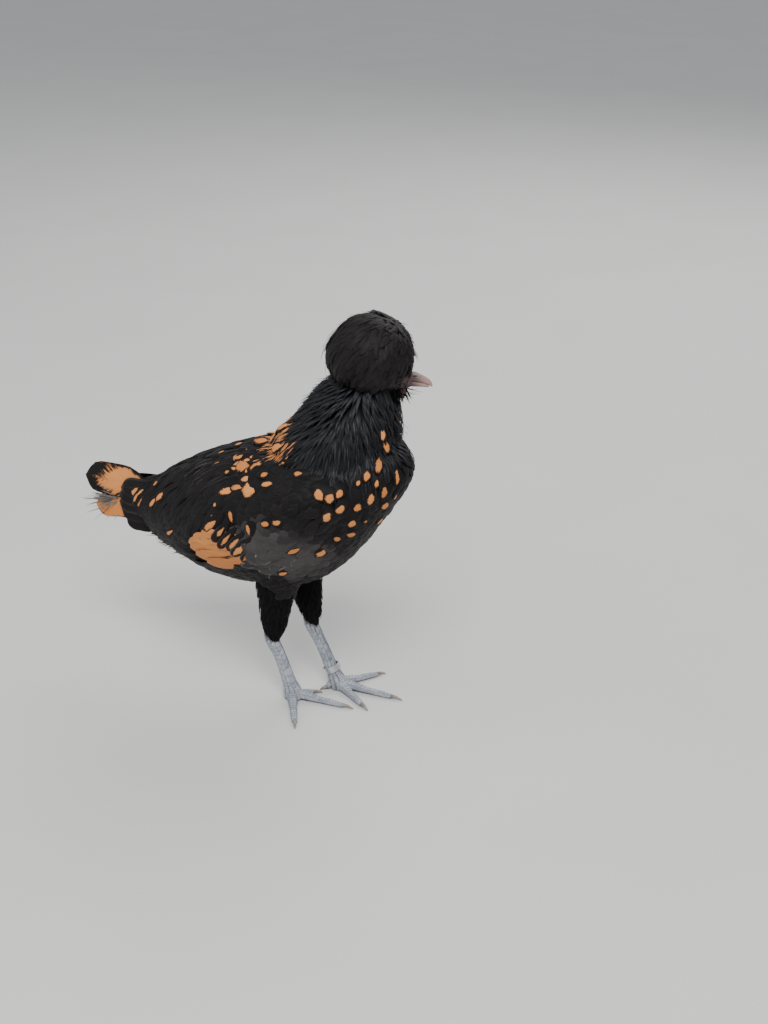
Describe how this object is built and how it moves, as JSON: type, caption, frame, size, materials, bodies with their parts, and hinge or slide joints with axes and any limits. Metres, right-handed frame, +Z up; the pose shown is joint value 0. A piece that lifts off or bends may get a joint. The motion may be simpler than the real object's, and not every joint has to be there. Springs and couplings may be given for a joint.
{
  "type": "polish crested chicken",
  "caption": "Still life-size polish crested hen standing on both feet, with a full round crest, folded wings, a small low tail and a leg ring.",
  "frame": {"origin": "middle of the bounding box at floor level, under the hen", "axes": "+Z up, +X forwards along the hen's heading, +Y to the hen's left"},
  "size_m": [0.2818, 0.1212, 0.3072],
  "materials": {
    "body_plumage": "satin",
    "loose_plumage": "matte",
    "crest_feathers": "matte",
    "flight_feathers": "satin",
    "beak_horn": "satin",
    "eye": "gloss",
    "bare_skin": "satin",
    "pale_skin": "matte",
    "scaly_skin": "matte",
    "claw_horn": "satin",
    "ring_metal": "satin"
  },
  "bodies": {
    "root": {"torso": "body_plumage", "rump": "loose_plumage", "neck": "body_plumage", "head": "body_plumage", "crest": "crest_feathers", "tail": "flight_feathers", "wing_left": "flight_feathers", "wing_right": "flight_feathers", "thigh_left": "body_plumage", "thigh_right": "body_plumage", "beak_upper": "beak_horn", "beak_lower": "beak_horn", "eye_left": "eye", "eye_right": "eye", "comb": "bare_skin", "wattle_left": "bare_skin", "wattle_right": "bare_skin", "earlobe_left": "pale_skin", "earlobe_right": "pale_skin", "shank_left": "scaly_skin", "shank_right": "scaly_skin", "toe_left_1": "scaly_skin", "toe_left_2": "scaly_skin", "toe_left_3": "scaly_skin", "toe_left_4": "scaly_skin", "toe_right_1": "scaly_skin", "toe_right_2": "scaly_skin", "toe_right_3": "scaly_skin", "toe_right_4": "scaly_skin", "claw_left_1": "claw_horn", "claw_left_2": "claw_horn", "claw_left_3": "claw_horn", "claw_left_4": "claw_horn", "claw_right_1": "claw_horn", "claw_right_2": "claw_horn", "claw_right_3": "claw_horn", "claw_right_4": "claw_horn", "leg_ring": "ring_metal"}
  },
  "joints": []
}
